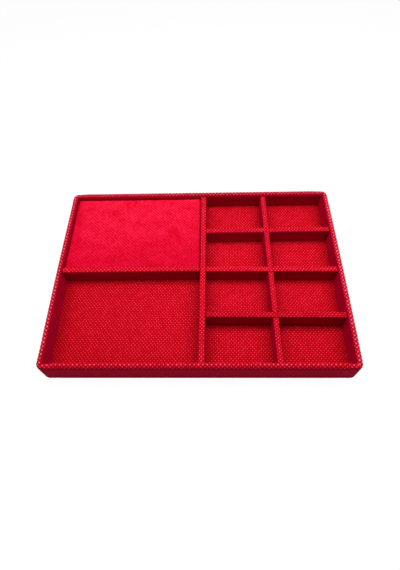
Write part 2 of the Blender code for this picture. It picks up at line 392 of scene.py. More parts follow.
class Finish:
    """A Principled material, or the world, whose nodes are added one call at a time."""

    def __init__(self, name, owner=None, **constants):
        self.material = owner or bpy.data.materials.new(name)
        self.material.use_nodes = True
        self.tree = self.material.node_tree
        self.shader = self.tree.nodes.get("Principled BSDF") or self.tree.nodes["Background"]
        for socket, value in constants.items():
            self.shader.inputs[socket.replace("_", " ")].default_value = value

    def node(self, kind, settings=None, inputs=None, output=0):
        """Adds a node, sets it up, fills its sockets with numbers or wires, and gives one output."""
        made = self.tree.nodes.new(kind)
        for name, value in (settings or {}).items():
            setattr(made, name, value)
        for key, value in (inputs or {}).items():
            self.fill(made.inputs[key], value)
        return Wire(self, made.outputs[output])

    def fill(self, socket, value):
        if isinstance(value, Wire):
            self.tree.links.new(value.socket, socket)
        else:
            socket.default_value = value

    def vector(self, x, y, z=0.0):
        return self.node("ShaderNodeCombineXYZ", None, {"X": x, "Y": y, "Z": z})

    def parts_of(self, vector):
        kind = "ShaderNodeSeparateXYZ"
        return [self.node(kind, None, {"Vector": vector}, output) for output in ("X", "Y", "Z")]

    def mix(self, share, first, second):
        """A colour between two colours."""
        first, second = (c if isinstance(c, Wire) else (*c, 1.0) for c in (first, second))
        return self.node("ShaderNodeMix", {"data_type": "RGBA"}, {0: share, 6: first, 7: second}, 2)

    def tinted(self, share, colour, tint):
        """A colour multiplied by a tint, as far as share says."""
        settings = {"data_type": "RGBA", "blend_type": "MULTIPLY"}
        return self.node("ShaderNodeMix", settings, {0: share, 6: colour, 7: tint}, 2)

    def noise(self, vector, scale, detail=2.0, roughness=0.5):
        inputs = {"Vector": vector, "Scale": scale, "Detail": detail, "Roughness": roughness}
        return self.node("ShaderNodeTexNoise", None, inputs)

    def bump(self, height, distance, strength):
        inputs = {"Height": height, "Distance": distance, "Strength": strength}
        return self.node("ShaderNodeBump", None, inputs, "Normal")

    def place(self):
        return self.node("ShaderNodeTexCoord", None, None, "Object")

    def seen_directly(self):
        """1 for what the camera sees, also in a gloss or through glass, and 0 for light on its way."""
        camera, glossy, through = (self.node("ShaderNodeLightPath", None, None, f"Is {kind} Ray")
                                   for kind in ("Camera", "Glossy", "Transmission"))
        return camera.maths("MAXIMUM", glossy).maths("MAXIMUM", through)

    def done(self, **results):
        for socket, value in results.items():
            self.fill(self.shader.inputs[socket.replace("_", " ")], value)
        return self.material


# %% [markdown]
# ## The two red cloths
#
# Seen close, the coarse cloth is not one red: the cross threads' floats catch the light, and their bright
# dots are partly the weave's own pattern and partly a painted highlight; the lengthwise ones lie deeper and
# darker, and no two floats are quite alike. Fine fibres run along each float, in a different direction on
# the two kinds. Upright faces take a darker, bluer copy of the colours as painted shade, and rim crowns are
# rubbed pale with a painted highlight. The pad's cloth is the same weave with a raised nap, which hides
# most of the relief, leaves a faint diagonal rib, and looks brighter.

# %% Cloth materials
FIBRE_DEPTH, FIBRE_STRENGTH, FIBRE_ROUGHNESS = 0.12 * MM, 0.6, 0.25
PIT_SHARE, PIT_SHADE = 0.4, 0.3
CROWN_DOT_GAIN = 0.2


def fibre_height(finish, along, across, float_share):
    """Fine fibres that run the way of the thread that is on top."""
    few, many = 2.5, 16.0
    lengthwise = finish.noise(finish.vector(along * few, across * many), 1.0, detail=3.0, roughness=0.6)
    crosswise = finish.noise(finish.vector(along * many, across * few), 1.0, detail=3.0, roughness=0.6)
    return crosswise + (lengthwise - crosswise) * float_share


def cloth_finish(name, side, top, crown, darkening_tint, crown_tint, dot_from, dot_full, rib, dot_mottle,
                 patch_mottle, patch_scale, roughness):
    """A woven finish. Each pair of colours is the ground, and the dots that the cross threads' floats make.

    The third count says how lit and worn a place is: 0 on upright faces, which take the side colours as
    painted shade, 1 on flat ones, 2 on the crown of a rim, which is rubbed pale and carries a painted
    highlight.
    The two tints are what a place multiplies its colour by where it is darkened, off the crown and on it;
    most of that darkening is painted shade.
    """
    finish = Finish(name, Specular_IOR_Level=0.03)
    darkening = finish.node("ShaderNodeAttribute", {"attribute_name": "darkening"}, None, "Fac")
    counts = finish.node("ShaderNodeAttribute", {"attribute_name": "threads"}, None, "Vector")
    along, across, lit_and_worn = finish.parts_of(counts)
    cell = finish.vector(along.floor(), across.floor())
    each = finish.node("ShaderNodeTexWhiteNoise", {"noise_dimensions": "2D"}, {"Vector": cell}, "Value")
    patches = finish.noise(finish.place(), patch_scale, detail=4.0, roughness=0.6)
    pattern = floats(along, across) + slant(along, across) * rib
    uneven = (each - 0.5) * dot_mottle + (patches - 0.5) * patch_mottle
    on_crown = (lit_and_worn - 1).limited()
    share = ((pattern + uneven + on_crown * CROWN_DOT_GAIN - dot_from) / (dot_full - dot_from)).limited()
    # Side colours: painted shade on upright faces. Crown colours: rubbed pale, with a painted highlight.
    ground, dot = (finish.mix(on_crown, finish.mix(lit_and_worn.limited(), shaded_upright, flat), lit_and_rubbed)
                   for shaded_upright, flat, lit_and_rubbed in zip(side, top, crown))
    fibres = fibre_height(finish, along, across, (pattern + 0.5).limited())
    pits = ((1 - ridges(along, across)) * PIT_SHARE).limited()
    shaded = finish.mix(pits, finish.mix(share, ground, dot), tuple(part * PIT_SHADE for part in top[0]))
    # Where the darkening attribute is set, the colour is multiplied by a tint: mostly painted shade.
    shaded = finish.tinted(darkening.limited(), shaded, finish.mix(on_crown, darkening_tint, crown_tint))
    rough = roughness + (fibres - 0.5) * FIBRE_ROUGHNESS
    normal = finish.bump(fibres, FIBRE_DEPTH, FIBRE_STRENGTH)
    return finish.done(Base_Color=shaded, Roughness=rough, Normal=normal)


# Side: painted shade on upright faces. Top: lit. Crown: rubbed pale, with a painted highlight.
red_cloth = cloth_finish("red_cloth_woven", side=((0.41, 0.0006, 0.025), (0.52, 0.003, 0.033)),
                         top=((0.475, 0.0001, 0.005), (1.0, 0.028, 0.083)),
                         crown=((0.46, 0.0006, 0.014), (1.0, 0.130, 0.195)), darkening_tint=(0.74, 0.45, 0.5),
                         crown_tint=(0.70, 0.98, 1.0), dot_from=0.36, dot_full=0.86, rib=0.0, dot_mottle=0.3,
                         patch_mottle=0.6, patch_scale=90.0, roughness=0.8)
# The pad's tint is painted shade: shadows of the wall and divider beside it, and shade towards its front.
pad_top, pad_painted_shade_tint = ((0.64, 0.0002, 0.016), (0.84, 0.016, 0.062)), (0.79, 0.2, 0.60)
pad_cloth = cloth_finish("pad_cloth_woven", side=((0.60, 0.0003, 0.014), (0.74, 0.002, 0.030)),
                         top=pad_top, crown=pad_top, darkening_tint=pad_painted_shade_tint, crown_tint=pad_painted_shade_tint,
                         dot_from=-0.7, dot_full=0.9, rib=0.6, dot_mottle=1.7, patch_mottle=5.4,
                         patch_scale=60.0, roughness=0.85)
print("cloth nodes:", len(red_cloth.node_tree.nodes), len(pad_cloth.node_tree.nodes))


def dress(piece, body, material, slot, *nodes):
    """Gives a new piece its finish and its body, and hides the solids that it stands for."""
    piece.data.materials.append(material)
    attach(piece, body)
    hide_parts(*nodes)
    return piece


# %% [markdown]
# ## The hidden layers
#
# Boards, card, foam and the felt under the base hardly show, but someone may take the organizer apart, so
# each has a finish of its own: pressed fibres in the boards, specks in the card, pores in the foam and
# short tangled fibres in the felt. These are the solids from the frame with a better material.

# %% Materials for boards, card, foam and felt
def speckled(name, dark, light, scale, stretch, roughness, depth):
    """A matte material of short fibres or grains between two colours."""
    contrast, cloud_contrast, cloud_size, sheen = 2.6, 0.6, 14, 0.12
    finish = Finish(name, Specular_IOR_Level=0.2)
    x, y, z = finish.parts_of(finish.place())
    place = finish.vector(x * stretch[0], y * stretch[1], z * stretch[2])
    grains = finish.noise(place, scale, detail=5.0, roughness=0.65)
    clouds = finish.noise(finish.place(), scale / cloud_size)
    share = ((grains - 0.5) * contrast + 0.5 + (clouds - 0.5) * cloud_contrast).limited()
    return finish.done(Base_Color=finish.mix(share, dark, light), Roughness=roughness - share * sheen,
                       Normal=finish.bump(grains, depth, strength=0.7))


hidden_finishes = {
    "fibreboard": speckled("fibreboard_pressed", (0.26, 0.16, 0.09), (0.56, 0.42, 0.28), 900.0,
                           (1.0, 1.0, 2.2), 0.9, 0.15 * MM),
    "grey_card": speckled("grey_card_recycled", (0.24, 0.22, 0.20), (0.47, 0.45, 0.42), 1500.0,
                          (1.0, 1.0, 1.0), 0.95, 0.05 * MM),
    "white_foam": speckled("white_foam_porous", (0.62, 0.60, 0.54), (0.88, 0.87, 0.83), 2600.0,
                           (1.0, 1.0, 1.0), 1.0, 0.25 * MM),
    "black_felt": speckled("black_felt_tangled", (0.005, 0.004, 0.005), (0.035, 0.030, 0.032), 1900.0,
                           (1.0, 2.0, 1.0), 1.0, 0.20 * MM),
}
for row in frame["record"]["subparts"]:
    finish = hidden_finishes.get(row["material_slot"])
    if finish:
        for place in frame["nodes"][row["node"]].material_slots:
            place.material = finish
print("hidden pieces dressed with", sorted(hidden_finishes))

# %% [markdown]
# ## Boards that follow their cloth
#
# The boards have to stand where their cloth is, or they would come through it. Each is copied from its
# solid, cut into short lengths, and moved by the same rules. The wall boards also have their top edges
# planed round, which gives the rim its soft roll. The front one is planed the most on its outer side, and
# the rear one on its inner side. Near the corners all four are planed alike, so that their cloths can meet.

# %% How round the rim is
ROLL_BLEND = 14 * MM
BOARD_CUT = 8 * MM
PLANED_DEPTHS = np.array([1.1, 1.4, 1.9, 2.6, 3.6, 5.0, 7.5]) * MM
wall_sides = ("front", "right", "rear", "left")
# Each roll: down the outside, in from the outside, in from the inside, down the inside.
corner_roll = np.array([4.4, 3.0, 2.0, 3.4]) * MM
rolls = {"front": np.array([7.5, 5.9, 1.1, 1.8]) * MM, "rear": np.array([3.2, 2.2, 4.2, 5.4]) * MM,
         "left": np.array([5.5, 3.8, 2.0, 3.4]) * MM, "right": corner_roll}


def along_share(half_length, place):
    """How far a place along a wall has left the corner behind, from 0 to 1."""
    return eased((half_length - CORNER - abs(place)) / ROLL_BLEND)


def planed_off(depth, down, across):
    """How deep a board lies behind the cloth's edge there, so that it stays under the round."""
    rise = np.clip((down - depth) / (down - SKIN), 0, 1)
    return SKIN + (across - SKIN) * (1 - np.sqrt(1 - rise ** 2))


def planed(points, side):
    """Points of a wall board, pushed in behind the rounded edges of the rim and its round corners."""
    length_axis = 0 if side in ("front", "rear") else 1
    half_length, half_out = (HALF_WIDTH, HALF_DEPTH) if length_axis == 0 else (HALF_DEPTH, HALF_WIDTH)
    place, out, z = points[:, length_axis], points[:, 1 - length_axis], points[:, 2]
    roll = corner_roll + along_share(half_length, place)[:, None] * (rolls[side] - corner_roll)
    depth = RIM_HEIGHT - z
    outer_cut = planed_off(depth, roll[:, 0], roll[:, 1])
    inner_cut = planed_off(depth, roll[:, 3], roll[:, 2])
    inset = half_out - abs(out)
    kept = np.where(inset < WALL, np.clip(inset, outer_cut, WALL - inner_cut), inset)
    out = np.sign(out) * (half_out - kept)
    core_along, core_out = half_length - CORNER, half_out - CORNER
    near_along, near_out = np.clip(place, -core_along, core_along), np.clip(out, -core_out, core_out)
    away = np.hypot(place - near_along, out - near_out)
    share = np.minimum(1, (CORNER - outer_cut) / np.maximum(away, TINY))
    made = points.copy()
    made[:, length_axis] = near_along + (place - near_along) * share
    made[:, 1 - length_axis] = near_out + (out - near_out) * share
    return made


# %% Boards of the real tray
def reshaped_board(node, length_axis, aside=None, side=None):
    """A copy of a board's solid that follows the rules of its wall or divider."""
    start, end = (corner[length_axis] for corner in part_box(node))
    work = bmesh.new()
    work.from_mesh(frame["nodes"][node].data)
    cuts = [(length_axis, place) for place in np.arange(start + BOARD_CUT, end, BOARD_CUT)]
    if side:
        cuts += [(2, RIM_HEIGHT - depth) for depth in PLANED_DEPTHS]
    for axis, place in cuts:
        normal = [float(axis == other) for other in range(3)]
        bmesh.ops.bisect_plane(work, geom=work.verts[:] + work.edges[:] + work.faces[:],
                               plane_co=[part * place for part in normal], plane_no=normal)
    points = np.array([vertex.co for vertex in work.verts])
    if side:
        points = planed(points, side)
    if aside:
        points[:, 1 - length_axis] += aside(points[:, length_axis])
    for vertex, point in zip(work.verts, settled(points)):
        vertex.co = point
    mesh = bpy.data.meshes.new(node + "_set")
    work.to_mesh(mesh)
    work.free()
    dress(added(node + "_set", mesh), "tray", hidden_finishes["fibreboard"], "fibreboard", node)


reshaped_board("base_board", 0)
for number, side in enumerate(wall_sides):
    reshaped_board(f"{side}_wall_board", number % 2, side=side)
for name, length_axis in length_axes.items():
    reshaped_board(name + "_board", length_axis, aside_rules[name])
print("boards set:", 1 + len(wall_sides) + len(length_axes))

# %% [markdown]
# ## The floor cloth
#
# The floor liner is one sheet of cloth on thin foam and card, laid in before the dividers. Its lengthwise
# threads lean a little, because the sheet was pulled slightly out of square when it was glued. The grid
# leans with them, and its ends are held on the straight edge of the tray. The cloth is darker along the
# walls and dividers as painted shade, and darker towards the tray's far corners as painted fall-off of
# light.

# %% Floor cloth
FLOOR_LEAN = 0.041
# How strong and wide the floor's painted shade is, and where its painted light is brightest.
EDGE_PAINTED_SHADE = 0.9
EDGE_REACH = 10 * MM
PAINTED_LIGHT_CENTRE = (0.04, 0.01)
PAINTED_LIGHT_REACH = 0.30


def away_from_edges(x, y):
    """How far places on the floor are from the nearest wall or divider."""
    nearest = np.minimum(INNER_HALF_WIDTH - abs(x), INNER_HALF_DEPTH - abs(y))
    for name in length_axes:
        low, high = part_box(name + "_wrap")
        away_x = np.maximum(np.maximum(low.x - x, x - high.x), 0)
        away_y = np.maximum(np.maximum(low.y - y, y - high.y), 0)
        nearest = np.minimum(nearest, np.hypot(away_x, away_y))
    return np.clip(nearest, 0, None)


def build_floor_cloth():
    across = half_threads(-INNER_HALF_DEPTH, INNER_HALF_DEPTH, WIDE_THREAD)
    reach = INNER_HALF_WIDTH + FLOOR_LEAN * INNER_HALF_DEPTH + THREAD
    columns = half_threads(-reach, reach, THREAD)
    x = columns[None, :] + FLOOR_LEAN * across[:, None]
    x = np.clip(x, -INNER_HALF_WIDTH, INNER_HALF_WIDTH)
    y = np.broadcast_to(across[:, None], x.shape)
    along_count = (x - FLOOR_LEAN * y) / THREAD
    across_count = y / WIDE_THREAD
    z = FLOOR_HEIGHT + relief(along_count, across_count)
    # Painted shade along walls and dividers, and painted fall-off of the light away from its brightest
    # place.
    far = np.hypot(x - PAINTED_LIGHT_CENTRE[0], y - PAINTED_LIGHT_CENTRE[1]) / PAINTED_LIGHT_REACH
    darkening = EDGE_PAINTED_SHADE * np.exp(-away_from_edges(x, y) / EDGE_REACH) + far ** 2
    points = settled(np.stack([x, y, z], axis=-1))
    return cloth_object("floor_cloth_woven", [(points, along_count, across_count, np.ones_like(z), darkening)])


floor_piece = dress(build_floor_cloth(), "tray", red_cloth, "red_cloth", "floor_cloth")

# %% [markdown]
# ## The dividers
#
# Each divider is a board with a strip of cloth folded over it, open along the foot. The strip is a grid
# walked up one side, over the soft top edge and down the other, and its ends are drawn in where it butts
# against a wall. On the long dividers on the left the strip was cut the other way of the cloth, so its
# threads are spaced further apart along it. The eight cells' dividers half-lap: the column divider is
# notched from above and the cross dividers from below, and the cloth is notched with them.

# %% Divider cloths
DIVIDER_ROUND = 1.5 * MM
DIVIDER_LIGHT_AND_WEAR = 1.15
END_ROUND = 1.6 * MM
END_LINES = END_ROUND * np.array([0.12, 0.4, 0.75])
NOTCH_EDGE = 0.05 * MM
# How much darker the tops of two cross dividers are drawn.
top_darkening = {"cross_divider_1": 0.35, "cross_divider_3": 0.7}
slot_height = (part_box("cross_divider_1_wrap")[0].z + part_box("column_divider_wrap")[1].z) / 2


def with_lines(lines, extra):
    """The grid lines with some more, in order, and none closer than a merge would allow."""
    both = np.sort(np.concatenate([lines, extra]))
    return both[np.concatenate([[True], np.diff(both) > 2 * MERGE])]


def divider_cloth(name, thread_along, thread_across, notches=(), notch_from_above=False):
    """The folded strip on one divider. Notches are (start, end) pairs along the divider."""
    length_axis = length_axes[name]
    low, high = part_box(name + "_wrap")
    cross_axis = 1 - length_axis
    middle = (low[cross_axis] + high[cross_axis]) / 2
    half = (high[cross_axis] - low[cross_axis]) / 2
    start, end = low[length_axis], high[length_axis]
    outline = rounded_outline([(-half, low.z), (-half, high.z), (half, high.z), (half, low.z)],
                              [DIVIDER_ROUND] * 2)
    total = outline_length(outline)
    across = half_threads(-total / 2, total / 2, thread_across)
    profile, facing = walk(outline, across + total / 2)
    along = half_threads(start, end, thread_along)
    along = with_lines(along, np.concatenate([start + END_LINES, end - END_LINES]))
    for first, last in notches:
        along = with_lines(along, [first - NOTCH_EDGE, first, last, last + NOTCH_EDGE])
    room = np.clip(np.minimum(along - start, end - along), 0, END_ROUND)
    drawn = END_ROUND - np.sqrt(END_ROUND ** 2 - (END_ROUND - room) ** 2)
    along_count, across_count = np.meshgrid(along / thread_along, across / thread_across + 0.5)
    sink = relief(along_count, across_count) - drawn[None, :]
    side = 1 if length_axis == 0 else -1
    offset = profile[:, :1] + facing[:, :1] * sink
    height = profile[:, 1:] + facing[:, 1:] * sink
    for first, last in notches:
        inside = (along >= first) & (along <= last)
        limit = np.minimum if notch_from_above else np.maximum
        height[:, inside] = limit(height[:, inside], slot_height)
    points = np.zeros((*height.shape, 3))
    points[..., length_axis] = along[None, :]
    points[..., cross_axis] = middle + side * offset + aside_rules[name](along)[None, :]
    points[..., 2] = height
    # Faces that look up get the lit colours and a little wear on top; the sides get painted shade.
    lit_and_rubbed = light_and_wear(facing[:, 1:]) * np.ones_like(height)
    lit_and_worn, darkening = DIVIDER_LIGHT_AND_WEAR * lit_and_rubbed, top_darkening.get(name, 0) * lit_and_rubbed
    rows, columns = height.shape
    first_end = [row * columns for row in range(rows)]
    last_end = [row * columns + columns - 1 for row in reversed(range(rows))]
    sheet = (settled(points), along_count, across_count, lit_and_worn, darkening)
    made = cloth_object(name + "_cloth", [sheet], (first_end, last_end))
    dress(made, "tray", red_cloth, "red_cloth", name + "_wrap")


def crossing(name, other):
    """The span along a divider where another one crosses it."""
    low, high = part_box(other + "_wrap")
    axis = length_axes[name]
    where = sum(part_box(name + "_wrap")[end][1 - axis] for end in (0, 1)) / 2
    aside = float(aside_rules[other](where))
    return low[axis] + aside, high[axis] + aside


cross_dividers = [name for name in length_axes if name.startswith("cross_")]
divider_cloth("main_divider", WIDE_THREAD, THREAD)
divider_cloth("left_divider", WIDE_THREAD, WIDE_THREAD)
divider_cloth("column_divider", THREAD, WIDE_THREAD,
              [crossing("column_divider", name) for name in reversed(cross_dividers)], notch_from_above=True)
for name in cross_dividers:
    divider_cloth(name, THREAD, WIDE_THREAD, [crossing(name, "column_divider")])

# %% [markdown]
# ## The wall cloth
#
# One strip of cloth covers each wall: from under the base, round the bottom edge, up the outside, over the
# rim and down the inside to the floor. The strips of two walls meet in a fold at each corner. The corner
# itself is turned with a radius of a few millimetres, so each strip carries half of the turn. The fold is
# drawn a little deeper than the cloth beside it, and this shows as the thin line across the rim. The floats
# on the crown of each rim are rubbed pale and carry a painted highlight. The crowns are darkened by a share
# of their own, most on the rear, and the rear wall's inner side and every wall's foot get painted shade.

# %% How each rim is worn
FOLD_DEPTH = 0.35 * MM
HEM_RELIEF_SHARE = 0.3
FOOT_SHADE = 1.2 * MM
FRONT_EXTRA = 0.6 * MM
# Painted shade on the rear wall's inner side, at full strength from this far past the crown.
REAR_INNER_PAINTED_SHADE = 0.65
REAR_SHADE_FROM = 2.5 * MM
corner_crown = 4.1 * MM
# Each rim: how far in its crown lies, how lit and worn it is there, the power and the reach of that over the
# cloth beside it, and how much its crown is darkened.
rims = {
    "front": (4.8 * MM, 1.6, 0.62, 9.0 * MM, 0.0),
    "right": (corner_crown, 3.6, 1.0, 3.9 * MM, 0.1),
    "rear": (2.6 * MM, 4.6, 1.0, 3.0 * MM, 1.0),
    "left": (4.4 * MM, 2.8, 1.0, 3.7 * MM, 0.45),
}
print("crowns, in mm from the outside:", {side: round(rim[0] / MM, 1) for side, rim in rims.items()})


# %% Strips that fold at the corners
def plan_point(half_along, half_out, inset, radius, run):
    """Where a strip is in plan at a length along it, and which way it faces there.

    The strip runs along +X at the front of a rectangle and turns an eighth of a circle at both ends.
    """
    straight = half_along - inset - radius
    turn = np.clip((np.abs(run) - straight) / radius, 0, math.pi / 4)
    sign = np.sign(run)
    x = np.where(turn > 0, sign * (straight + radius * np.sin(turn)), run)
    y = -(half_out - inset - radius) - radius * np.cos(turn)
    return x, y, sign * np.sin(turn), -np.cos(turn)


def folded_strip(half_along, half_out, corner, outline, thread, crown=0.0, own=None, flat=False):
    """The grid of a strip that follows one side of a rectangle, cut at the corner folds.

    The middle of a row of floats lies at the length crown along the outline. Away from the corners the strip
    follows an outline and crown of its own.
    """
    total = outline_length(outline)
    across = half_threads(0, total, thread, crown)
    profile, facing = walk(outline, across)
    inset = profile[:, :1]
    foot_share = 0 if flat else 1 - profile[:, 1:] / RIM_HEIGHT
    radius = np.maximum(corner + (FOOT_CORNER - CORNER) * foot_share - inset, INNER_CORNER)
    reach = half_along - inset - radius + radius * math.pi / 4
    lines = half_threads(-reach.max(), reach.max(), thread)
    run = np.clip(lines[None, :], -reach, reach)
    x, y, face_x, face_y = plan_point(half_along, half_out, inset, radius, run)
    along_count = run / thread
    across_count = np.broadcast_to((across[:, None] - crown) / thread + 0.5, run.shape)
    sink = relief(along_count, across_count) * (HEM_RELIEF_SHARE if flat else 1.0)
    sink = np.where(np.abs(run) >= reach - MERGE, -FOLD_DEPTH, sink)
    change = np.zeros((*run.shape, 2))
    facing = np.broadcast_to(facing[:, None], change.shape)
    if own:
        share = along_share(half_along, run)[..., None]
        own_places = across - crown + own[1]
        own_places[0], own_places[-1] = 0, outline_length(own[0])
        own_profile, own_facing = walk(own[0], own_places)
        change = share * (own_profile - profile)[:, None]
        facing = facing + share * (own_facing[:, None] - facing)
    outward = -change[..., 0] - facing[..., 0] * sink
    x = x + face_x * outward
    y = y + face_y * outward
    z = profile[:, 1:] + change[..., 1] + facing[..., 1] * sink
    # Painted shade at the foot of each wall, inside and out.
    darkening = 0.0 if flat else np.exp(-z / FOOT_SHADE)
    return np.stack([x, y, z], axis=-1), along_count, across_count, light_and_wear(facing[..., 1]), darkening


def turned(points, quarters):
    """Grid points turned about +Z by quarter turns."""
    for _ in range(quarters):
        points = np.stack([-points[..., 1], points[..., 0], points[..., 2]], axis=-1)
    return points


# %% Wall cloth
def wall_outline(roll, crown_inset, extra=0.0):
    """A wall's outline from the hem under the base to the foot inside, and the length to its crown."""
    fold = HEM_HEIGHT - HEM_DROP
    wall = WALL + extra
    corners = [(HEM, HEM_HEIGHT), (HEM_FOLD, HEM_HEIGHT), (HEM_FOLD - HEM_ROUND, fold), (0, fold),
               (0, RIM_HEIGHT), (wall, RIM_HEIGHT), (wall, WALL_FOOT)]
    radii = [HEM_ROUND / 2, HEM_ROUND / 2, HEM_ROUND, tuple(roll[:2]), tuple(roll[2:])]
    outline = rounded_outline(corners, radii)
    rim = outline[:, 1] > RIM_HEIGHT - roll[0]
    return outline, float(np.interp(crown_inset, outline[rim, 0], lengths_along(outline)[rim]))


def build_wall_cloth():
    outline, crown = wall_outline(corner_roll, corner_crown)
    sheets = []
    for quarters, side in enumerate(wall_sides):
        crown_inset, most_lit_and_worn, power, reach, crown_darkening = rims[side]
        halves = (HALF_WIDTH, HALF_DEPTH) if quarters % 2 == 0 else (HALF_DEPTH, HALF_WIDTH)
        own = wall_outline(rolls[side], crown_inset, FRONT_EXTRA if side == "front" else 0.0)
        points, along, across, lit_and_worn, darkening = folded_strip(*halves, CORNER, outline, WIDE_THREAD, crown, own)
        inward = (across - 0.5) * WIDE_THREAD
        near_crown = np.exp(-(inward / reach) ** 2)
        lit_and_worn = most_lit_and_worn * lit_and_worn ** power * near_crown
        # The rear wall's inner side gets painted shade, and each crown is darkened by its own share.
        inner_painted_shade = REAR_INNER_PAINTED_SHADE * eased(inward / REAR_SHADE_FROM) if side == "rear" else 0.0
        darkening = darkening + np.maximum(crown_darkening * near_crown, inner_painted_shade)
        sheets.append((settled(turned(points, quarters)), along, across, lit_and_worn, darkening))
    return cloth_object("wall_cloth", sheets)


dress(build_wall_cloth(), "tray", red_cloth, "red_cloth", "wall_wrap")

# %% [markdown]
# ## The pad
#
# The pad is a block of foam on a card, with its cloth drawn tight over both and glued underneath. Its top
# swells because the foam presses against the cloth. That swelling is simulated: a flat sheet is pinned
# round its edge and pushed up from below, and the height that it reaches lifts the fine grid. The grid
# itself is a flat piece of cloth wrapped over the block's edges, which spreads its threads round each
# corner as real cloth spreads.

# %% Pad sizes
PAD_CORNER = 3.4 * MM
PAD_EDGE = 2.6 * MM
PAD_FOOT_ROUND = 0.9 * MM
PAD_HEM = 10 * MM
PAD_DRAW = 0.3 * MM
PAD_CROWN = 0.8 * MM
PAD_RISE = 2.2 * MM
PAD_GAP = -0.1 * MM
# Painted shade towards the pad's front, and painted shadows from the wall (left) and divider (right).
PAD_FRONT_PAINTED_SHADE = 1.0
PAD_FRONT_REACH = 110 * MM
PAD_SQUEEZE = 1.0 * MM
PAD_SQUEEZE_REACH = 2.0 * MM
PAD_LEFT_PAINTED_SHADOW = 2.2
PAD_RIGHT_PAINTED_SHADOW = 0.5
PAD_SIDE_REACH = 6 * MM
PAD_RELIEF_SHARE = 0.45
NAP_SHARE = 0.25
PULL_POWER = 9

pad_low, pad_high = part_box("pad_cover")
pad_middle = (pad_low + pad_high) / 2
pad_half = (pad_high - pad_low) / 2
PAD_EDGE_TOP = pad_high.z - PAD_CROWN + PAD_RISE
print(f"pad's edge {PAD_EDGE_TOP:.4f} m up")

# %% Pad swelling
SIM_STEP = 4 * MM
SIM_FRAMES = 20
PRESSURE = 4.0
PINNED_SHARE = 0.999


def swelling_grid():
    """The height of the pad's swelling on a coarse grid, from 0 at the edge to 1 at the highest place."""
    x = np.linspace(-1, 1, round(2 * pad_half.x / SIM_STEP) + 1)
    y = np.linspace(-1, 1, round(2 * pad_half.y / SIM_STEP) + 1)
    plan_x, plan_y = np.meshgrid(x * pad_half.x, y * pad_half.y)
    points = np.stack([plan_x, plan_y, np.zeros_like(plan_x)], axis=-1).reshape(-1, 3)
    mesh = bpy.data.meshes.new("pad_swelling")
    mesh.from_pydata(points.tolist(), [], grid_faces(len(y), len(x), 0))
    sheet = added("pad_swelling", mesh)
    outermost = np.maximum(abs(points[:, 0]) / pad_half.x, abs(points[:, 1]) / pad_half.y)
    pins = sheet.vertex_groups.new(name="edge")
    pins.add(np.flatnonzero(outermost > PINNED_SHARE).tolist(), 1.0, "REPLACE")
    cloth = sheet.modifiers.new("cloth", "CLOTH")
    cloth.settings.vertex_group_mass = "edge"
    cloth.settings.use_pressure = True
    cloth.settings.uniform_pressure_force = PRESSURE
    cloth.settings.effector_weights.gravity = 0.0
    cloth.point_cache.frame_end = SIM_FRAMES
    for number in range(1, SIM_FRAMES + 1):
        bpy.context.scene.frame_set(number)
    graph = bpy.context.evaluated_depsgraph_get()
    simulated = sheet.evaluated_get(graph).to_mesh()
    heights = np.array([vertex.co.z for vertex in simulated.vertices]).reshape(plan_x.shape)
    bpy.data.objects.remove(sheet)
    bpy.context.scene.frame_set(1)
    return heights / max(heights.max(), MERGE)


swelling = swelling_grid()
print("swelling grid", swelling.shape, "mean share", round(float(swelling.mean()), 3))


def swell_at(x, y):
    """The swelling at places on the pad, read between the coarse grid's points."""
    rows, columns = swelling.shape
    column = np.clip((x / pad_half.x + 1) / 2 * (columns - 1), 0, columns - 1 - TINY)
    row = np.clip((y / pad_half.y + 1) / 2 * (rows - 1), 0, rows - 1 - TINY)
    left, low = column.astype(int), row.astype(int)
    right_share, top_share = column - left, row - low
    lower = swelling[low, left] * (1 - right_share) + swelling[low, left + 1] * right_share
    upper = swelling[low + 1, left] * (1 - right_share) + swelling[low + 1, left + 1] * right_share
    return lower * (1 - top_share) + upper * top_share


# %% Fitting the pad to its pocket
def fitted(points):
    """Points of the pad's drawn block, stretched in plan to press against the real walls and dividers."""
    x, y, z = np.moveaxis(points, -1, 0)
    outer = settled(np.stack([np.full_like(x, -INNER_HALF_WIDTH), y, z], axis=-1))[..., 0] + PAD_GAP
    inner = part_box("main_divider_wrap")[0].x + aside_rules["main_divider"](y) - PAD_GAP
    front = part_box("left_divider_wrap")[1].y + aside_rules["left_divider"](x) + PAD_GAP
    rear = settled(np.stack([x, np.full_like(y, INNER_HALF_DEPTH), z], axis=-1))[..., 1] - PAD_GAP
    share_x = (x - pad_low.x) / (pad_high.x - pad_low.x)
    share_y = (y - pad_low.y) / (pad_high.y - pad_low.y)
    return np.stack([outer + (inner - outer) * share_x, front + (rear - front) * share_y, z], axis=-1)


# %% Pad cloth
def pad_relief(along, across):
    """How far the pad's cloth lies above its block: a share of the relief, and the rib of the nap."""
    weave = PAD_RELIEF_SHARE * (relief(along, across) - LIFT)
    return weave + NAP_SHARE * PAD_RELIEF_SHARE * RELIEF * (slant(along, across) - 1)


